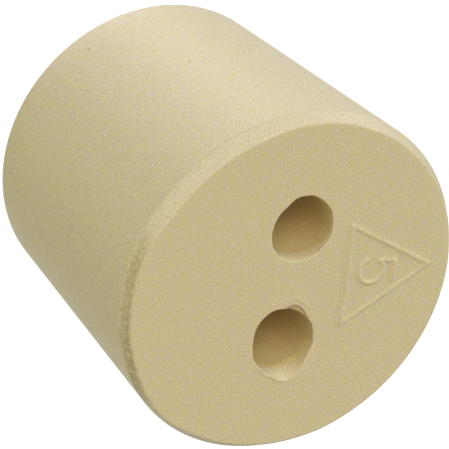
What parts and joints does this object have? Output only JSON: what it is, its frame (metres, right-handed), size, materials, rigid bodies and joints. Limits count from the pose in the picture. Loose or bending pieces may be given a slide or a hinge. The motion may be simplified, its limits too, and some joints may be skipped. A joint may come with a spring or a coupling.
{
  "type": "rubber stopper",
  "caption": "Tapered laboratory rubber stopper with two parallel through holes and a raised size mark on its wide end.",
  "frame": {"origin": "centre of the narrow end's flat face, which is the bottom of the part", "axes": "+Z along the stopper's axis from the narrow end to the wide end; X runs through both hole axes; +Y towards the raised size mark"},
  "size_m": [0.027, 0.027, 0.0242],
  "materials": {
    "rubber_body": "matte tan natural rubber, as moulded"
  },
  "bodies": {
    "root": {"stopper": "rubber_body"}
  },
  "joints": []
}
